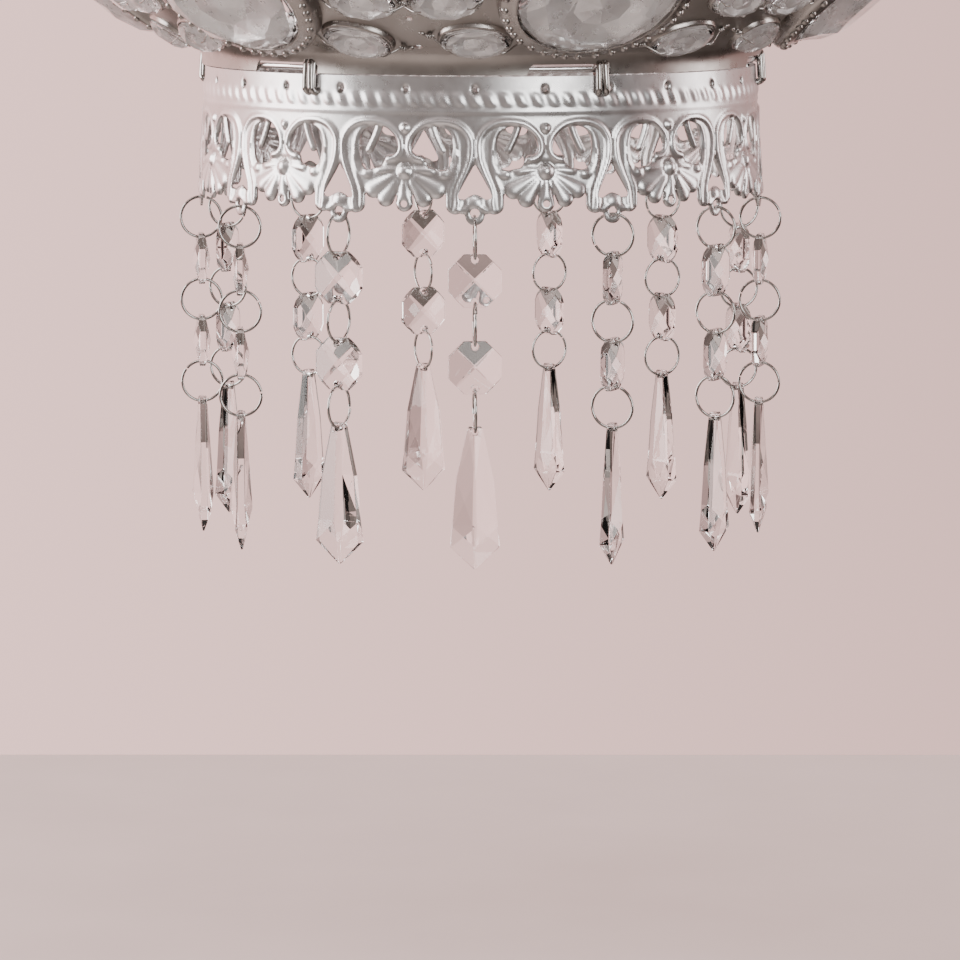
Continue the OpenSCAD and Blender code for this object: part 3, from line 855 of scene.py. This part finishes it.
def small_stones():
    stones, cups, foils, wires = Shells(), Shells(), Shells(), Shells()
    rx, ry = OVAL_L / 2, OVAL_W / 2
    cup_levels = [(-5.0, 0.25), (-5.0, 0.5), (-0.4, 0.5), (0.02, 0.7), (0.06, 1.0), (0.2, 1.15),
                  (0.42, 1.1), (0.6, 0.8), (0.75, 0.35), (0.95, 0.0), (0.9, -0.35), (0.2, -0.3)]
    cup_rings = oval_rings(cup_levels, 40, rx, ry)
    cup_v, cup_f = rings_solid(cup_rings + [cup_rings[0]], cap=False)
    foil_v, foil_f = star_foil(rx - 0.3, ry - 0.3, 0.6, 0.9, 7)
    tip = rx + 0.35
    for number, (azimuth, theta, tilt) in enumerate(STONES):
        wobble = 1.5 * math.sin(7.3 * number)
        v, f = cut_stone(rx - 0.1, ry - 0.1, CUP_T + 0.08, CUP_T + 1.3, CUP_T + OVAL_H, 0.5, 0.76, 7,
                         0.15 * math.sin(3.1 * number))
        stones.add(on_bowl(v, azimuth, theta, tilt), f)
        cups.add(on_bowl(cup_v, azimuth, theta, tilt + wobble), cup_f)
        foils.add(on_bowl(foil_v, azimuth, theta, tilt), foil_f)
        for side in (-1, 1):
            lean = 0.5 * math.sin(2.3 * number + side)
            path = smooth_path([
                (side * (rx - 3.0), 0.2 * lean, CUP_T + 3.25), (side * (rx - 1.4), 0.0, CUP_T + 3.1),
                (side * (tip - 0.4), lean, CUP_T + 2.1), (side * (tip + 1.1), 1.6 * lean, CUP_T + 1.0),
                (side * (tip + 2.6), 1.1 * lean, 0.55), (side * (tip + 3.4), 0.3 * lean, 0.35),
                (side * (tip + 3.3), -0.9, 0.5), (side * (tip + 2.3), -0.9 - 0.3 * lean, 0.65),
            ], 4)
            path[:, 2] -= sheet_drop(path[:, 0], path[:, 1]) * np.clip((np.abs(path[:, 0]) - rx) / 2, 0, 1)
            v, f = tube(path, 0.24, 7)
            wires.add(on_bowl(v, azimuth, theta, tilt), f)
            turns = np.linspace(0, 2 * math.pi * 2.5, 26)
            knot = np.column_stack([side * (tip + 1.75 + 0.1 * turns), 0.55 * np.cos(turns) + 1.2 * lean,
                                    0.75 + 0.5 * np.sin(turns)])
            knot[:, 2] -= sheet_drop(knot[:, 0], knot[:, 1])
            v, f = tube(knot, 0.22, 6)
            wires.add(on_bowl(v, azimuth, theta, tilt), f)
            v, f = bump_shell((side * (tip + 4.6), -0.4 + lean), 0.95, 0.65, 0.6, 0.3 * side)
            cups.add(on_bowl(v, azimuth, theta, tilt), f)
    crystal = stones.build("small_cut_stones", STONE)
    cup = cups.build("small_stone_cups", BEZEL_METAL, sharp=45)
    foil = foils.build("small_stone_foils", FOIL)
    wire = wires.build("stone_wire_loops", WIRE, sharp=60)
    for piece, slot in ((crystal, "cut_stone"), (cup, "bezel_metal"), (foil, "bezel_metal"),
                        (wire, "bright_wire")):
        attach(piece, ROOT)
    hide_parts("small_crystals")
    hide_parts("stone_cups")
    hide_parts("stone_wires")


def band_ties():
    """Each tie is a few turns of soft wire round the neck ring and through its hole in the band."""
    ties = Shells()
    hole = np.array([BAND_TOP_R + 0.2, BAND_Z - TOP_HOLE_V])
    ring = np.array([NECK_RING_R, NECK_RING_Z])
    for notch_az in NOTCHES:
        azimuth = math.radians(notch_az + TIE_OFFSET)
        loop = []
        for i in range(39):
            a = 2 * math.pi * i / 16
            # a stadium in the radial plane: over the ring at the top, through the hole at the bottom
            end = ring if math.sin(a) > 0 else hole
            reach = 2.15 if math.sin(a) > 0 else 1.35
            r = end[0] + (reach + 0.02 * i) * math.cos(a)
            z = end[1] + (reach + 0.1) * math.sin(a)
            along = 1.15 * math.sin(0.62 * a + 0.9)
            loop.append((r, azimuth + along / LIP_R, z))
        path = np.array([polar(r, az, z) for r, az, z in loop])
        ties.add(*tube(smooth_path(path, 2), TIE_WIRE_R, 10))
    piece = ties.build("band_tie_wires", WIRE, sharp=60)
    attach(piece, ROOT)
    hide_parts("band_ties")


# ---------------------------------------------------------------- crystal strings

OCTAGON_W, OCTAGON_T, OCTAGON_EDGE = 14.0, 5.0, 1.5
# heights from the top ring's centre
OCTAGON_DEPTHS = (-11.43, -34.29)
RING_DEPTHS = (0.0, -22.86, -45.72)
HOLE_GAP = 11.0                    # between an octagon's two holes
DROP_TOP = -49.97
DROP_HOLE = -51.47
DROP_L, DROP_W, DROP_T = 38.0, 13.0, 6.0


def carved(name, verts, faces, hole_heights, hole_r, bevel):
    """Drills holes from front to back through a solid, bevels its edges and returns its points and faces."""
    solid = turn_outwards(add_object(name, verts, faces, CRYSTAL))
    helpers = []
    for height in hole_heights:
        v, f = tube([(0, y, height) for y in (-8, 8)], hole_r, 20)
        helper = turn_outwards(add_object(name + "_drill", v, f, CRYSTAL))
        helpers.append(helper)
        cut = solid.modifiers.new("drill", "BOOLEAN")
        cut.operation = "DIFFERENCE"
        cut.solver = "EXACT"
        cut.object = helper
    edge = solid.modifiers.new("edge", "BEVEL")
    edge.width = bevel * MM
    edge.segments = 1
    edge.limit_method = "ANGLE"
    edge.angle_limit = math.radians(7)
    bpy.context.view_layer.update()
    done = solid.evaluated_get(bpy.context.evaluated_depsgraph_get()).to_mesh()
    out_verts = np.array([v.co[:] for v in done.vertices]) / MM
    out_faces = [list(p.vertices) for p in done.polygons]
    for helper in helpers + [solid]:
        mesh = helper.data
        bpy.data.objects.remove(helper)
        bpy.data.meshes.remove(mesh)
    return out_verts, out_faces


def octagon_shape():
    """Points and faces of one pyramid-cut octagon, about its middle."""
    half, edge = OCTAGON_W / 2, OCTAGON_EDGE / 2
    side = half * math.tan(math.radians(22.5))
    outline = [(half, side), (side, half), (-side, half), (-half, side),
               (-half, -side), (-side, -half), (side, -half), (half, -side)]
    # each face is a low four-sided pyramid, so the outline's height follows its greatest coordinate
    apex = OCTAGON_T / 2
    slope = (apex - edge) / half
    front = [(x, -(apex - slope * max(abs(x), abs(z))), z) for x, z in outline]
    back = [(x, -y, z) for x, y, z in front]
    verts = front + back + [(0, -apex, 0), (0, apex, 0)]
    faces = []
    for k in range(8):
        after = (k + 1) % 8
        faces.append([k, after, 8 + after, 8 + k])
    # the pyramids' arrises run to the middles of the octagon's corner edges
    mids = []
    for k in (0, 2, 4, 6):
        x, z = np.mean([outline[k], outline[k + 1]], axis=0)
        mids.append((x, z))
    for y_sign, base, tip in ((-1, 0, 16), (1, 8, 17)):
        first = len(verts)
        for x, z in mids:
            verts.append((x, y_sign * (apex - slope * max(abs(x), abs(z))), z))
        for k in range(4):
            # corners 2k+1 and 2k+2 of the outline belong to one pyramid face
            a, b = base + (2 * k + 1) % 8, base + (2 * k + 2) % 8
            faces.append([tip, first + k, a, b, first + (k + 1) % 4])
    # the corner edges of the outline carry the extra middle points
    for k, corner in enumerate((0, 2, 4, 6)):
        for face in faces[:8]:
            if face[0] == corner:
                face[:] = [corner, 18 + k, corner + 1, 8 + corner + 1, 22 + k, 8 + corner]
    return carved("octagon_blank", verts, faces, (-HOLE_GAP / 2, HOLE_GAP / 2), 1.0, 0.16)


def drop_shape():
    """Points and faces of one six-sided drop, hanging from z = 0."""

    def section(w, t, edge_t, z):
        return [(w / 2, -edge_t / 2, z), (w / 2, edge_t / 2, z), (0, t / 2, z),
                (-w / 2, edge_t / 2, z), (-w / 2, -edge_t / 2, z), (0, -t / 2, z)]

    rings = [section(0.6, 0.5, 0.3, -DROP_L),
             section(DROP_W, 0.56 * DROP_T, 0.5 * DROP_T, -0.84 * DROP_L),
             section(0.925 * DROP_W, DROP_T, 0.4 * DROP_T, -0.7 * DROP_L),
             section(0.76 * DROP_W, 0.72 * DROP_T, 0.32 * DROP_T, -0.37 * DROP_L),
             section(3.8, 2.4, 1.8, -0.4), section(3.2, 2.0, 1.5, 0.0)]
    verts, faces = rings_solid(rings)
    return carved("drop_blank", verts, faces, (DROP_HOLE - DROP_TOP,), 0.85, 0.12)


def string_frame(number):
    """The matrix from a string's local frame, at its top ring's centre, to the model."""
    joint = JOINTS[f"string_{number}_swing"]
    x = -np.array(joint["axis"], float)
    x /= np.linalg.norm(x)
    z = np.array([0.0, 0.0, 1.0])
    y = np.cross(z, x)
    return np.column_stack([x, y, z]), np.array(joint["pos_m"]) / MM


def turned(points, degrees):
    c, s = math.cos(math.radians(degrees)), math.sin(math.radians(degrees))
    return np.asarray(points, float) @ np.array([[c, s, 0], [-s, c, 0], [0, 0, 1]])


def crystal_strings():
    octagon_v, octagon_f = octagon_shape()
    drop_v, drop_f = drop_shape()
    for k in range(STRINGS):
        number = f"{k + 1:02d}"
        axes, origin = string_frame(number)

        def place(points):
            return np.asarray(points, float) @ axes.T + origin

        rings = Shells()
        for i, depth in enumerate(RING_DEPTHS):
            start = math.radians(65 + 95 * math.sin(4.7 * k + 2.1 * i))
            gap = RING_SPLIT / LINK_R
            angles = np.linspace(start + gap / 2, start + 2 * math.pi - gap / 2, 64)
            spring = 0.3 * (angles - angles.mean()) / math.pi
            path = np.column_stack([0.35 * spring, LINK_R * np.cos(angles), depth + LINK_R * np.sin(angles)])
            v, f = tube(path, LINK_WIRE_R, 10)
            rings.add(place(v), f)
        piece = rings.build(f"split_rings_{number}", WIRE, sharp=60)
        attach(piece, f"string_{number}")
        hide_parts(f"rings_{number}")

        octagons = Shells()
        for i, depth in enumerate(OCTAGON_DEPTHS):
            spin = 4 * math.sin(2.9 * k + 1.7 * i)
            octagons.add(place(turned(octagon_v, spin) + [0, 0, depth]), octagon_f)
        piece = octagons.build(f"octagon_crystals_{number}", CRYSTAL)
        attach(piece, f"string_{number}")
        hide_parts(f"octagons_{number}")

        drop = Shells()
        drop.add(place(drop_v + [0, 0, DROP_TOP]), drop_f)
        piece = drop.build(f"drop_crystal_{number}", CRYSTAL)
        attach(piece, f"drop_{number}")
        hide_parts(f"drop_{number}")


# ---------------------------------------------------------------- rim, and metal that keeps its CAD shape


def rolled_rim():
    """The bowl's rolled edge with the flat ledge that the arms are riveted to."""

    def bead(first, last, count):
        return [(RIM_R + RIM_BEAD_R * math.cos(a), RIM_Z + 1.6 + RIM_BEAD_R * math.sin(a))
                for a in np.radians(np.linspace(first, last, count))]

    ledge = [(LEDGE_IN_R + 0.3, RIM_Z + 2.6), (LEDGE_IN_R, RIM_Z + 2.3), (LEDGE_IN_R, RIM_Z + 1.7),
             (LEDGE_IN_R + 0.3, RIM_Z + 1.4)]
    rim = Shells()
    rim.add(*revolve(bead(-41.8, 155.4, 22) + ledge + bead(184.8, 221.8, 6), 288))
    piece = rim.build("rolled_rim", FRAME_METAL, sharp=40)
    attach(piece, ROOT)
    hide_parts("top_rim")


def dress_cad_metal():
    for node in ("shade_ring", "spider_arms", "arm_rivets", "neck_ring"):
        obj = frame["nodes"][node]
        obj.data.materials.clear()
        obj.data.materials.append(FRAME_METAL)


# ---------------------------------------------------------------- floor, light and camera


def pale_floor():
    near, far, aside, floor_z = -2.4, 0.514, 2.2, -0.37
    mesh = bpy.data.meshes.new("floor")
    mesh.from_pydata([(-aside, near, floor_z), (aside, near, floor_z), (aside, far, floor_z),
                      (-aside, far, floor_z)], [], [(0, 1, 2, 3)])
    floor = bpy.data.objects.new("floor", mesh)
    bpy.context.scene.collection.objects.link(floor)
    n = Nodes("floor_paint")
    n.link(n.ramp(n.noise(14, 3.0), [(0.3, (0.66, 0.58, 0.56)), (0.7, (0.70, 0.62, 0.60))]),
           n.shader.inputs["Base Color"])
    n.set(Roughness=0.6)
    mesh.materials.append(n.material)
    floor.visible_transmission = False
    floor.visible_glossy = False


def room_light():
    """The room round the object: a pale wall behind, a dim room in front and a window on the left."""
    world = bpy.data.worlds.new("studio")
    bpy.context.scene.world = world
    world.use_nodes = True
    tree = world.node_tree
    new, link = tree.nodes.new, tree.links.new
    split = new("ShaderNodeSeparateXYZ")
    link(new("ShaderNodeTexCoord").outputs["Generated"], split.inputs["Vector"])

    def along(axis, low=-1.0, high=1.0, kind="LINEAR"):
        """Where a direction's part along an axis lies between low and high, from 0 to 1."""
        node = new("ShaderNodeMapRange")
        node.interpolation_type = kind
        node.inputs["From Min"].default_value = low
        node.inputs["From Max"].default_value = high
        link(split.outputs[axis], node.inputs["Value"])
        return node.outputs["Result"]

    def colours(source, stops):
        """Colours along an axis; each stop is (place from -1 to 1, colour)."""
        ramp = new("ShaderNodeValToRGB")
        link(source, ramp.inputs["Fac"])
        elements = ramp.color_ramp.elements
        while len(elements) < len(stops):
            elements.new(0.5)
        for element, (position, colour) in zip(elements, stops):
            element.position = (position + 1) / 2
            element.color = (*colour, 1.0)
        return ramp.outputs["Color"]

    def blend(first, second, kind="MIX"):
        node = new("ShaderNodeMix")
        node.data_type = "RGBA"
        node.blend_type = kind
        node.inputs["Factor"].default_value = 1.0
        link(first, node.inputs["A"])
        link(second, node.inputs["B"])
        return node

    pale, table = (0.90, 0.58, 0.55), (0.10, 0.078, 0.07)
    under, top = (0.44, 0.375, 0.35), (0.7, 0.5, 0.48)
    height = along("Z")
    back = colours(height, [(-1.0, under), (-0.84, under), (-0.66, table), (-0.36, table), (-0.29, pale),
                            (0.3, pale), (1.0, top)])
    front = colours(height, [(-1.0, under), (-0.7, under), (-0.5, (0.24, 0.205, 0.19)),
                             (-0.2, (0.14, 0.12, 0.112)), (0.25, (0.15, 0.13, 0.125)),
                             (0.6, (0.35, 0.3, 0.29)), (1.0, top)])
    room = blend(front, back)
    link(along("Y", -0.45, 0.1, "SMOOTHSTEP"), room.inputs["Factor"])
    window_side = colours(along("X"), [
        (-1.0, (0.99, 0.98, 0.97)), (-0.4, (0.98, 0.97, 0.96)), (-0.12, (0.85, 0.84, 0.83)),
        (0.12, (0.62, 0.61, 0.60)), (0.4, (0.34, 0.33, 0.325)), (1.0, (0.36, 0.35, 0.345))])
    background = tree.nodes["Background"]
    background.inputs["Strength"].default_value = 2.2
    link(blend(room.outputs["Result"], window_side, "MULTIPLY").outputs["Result"], background.inputs["Color"])


def softbox(name, azimuth, height, distance, width, tall, watts):
    light = bpy.data.lights.new(name, "AREA")
    light.shape = "RECTANGLE"
    light.size, light.size_y = width, tall
    light.energy = watts
    light.color = (1.0, 0.985, 0.97)
    lamp = bpy.data.objects.new(name, light)
    bpy.context.scene.collection.objects.link(lamp)
    a = math.radians(azimuth)
    lamp.location = (distance * math.sin(a), -distance * math.cos(a), height)
    lamp.rotation_euler = (Vector((0, 0, -0.09)) - lamp.location).to_track_quat("-Z", "Y").to_euler()
    lamp.visible_camera = False


def photo_camera():
    camera = bpy.data.cameras.new("photo_view")
    camera.lens = 173.4
    camera.sensor_width = 36.0
    eye = bpy.data.objects.new("photo_view", camera)
    bpy.context.scene.collection.objects.link(eye)
    eye.location = (-0.00028, -1.288, -0.0165)
    eye.rotation_euler = (math.radians(90 - 7.7), 0, 0)
    bpy.context.scene.camera = eye


pale_floor()
room_light()
softbox("left_window", -80, 0.3, 1.5, 1.2, 1.4, 30)
softbox("front_window", 27, 0.25, 1.8, 0.9, 0.9, 14)
softbox("right_fill", 100, 0.1, 1.9, 0.7, 1.3, 12)
softbox("overhead", -10, 1.5, 0.9, 1.0, 0.9, 16)
photo_camera()
gallery_band()
bowl_sheet()
large_stones()
small_stones()
band_ties()
crystal_strings()
rolled_rim()
dress_cad_metal()
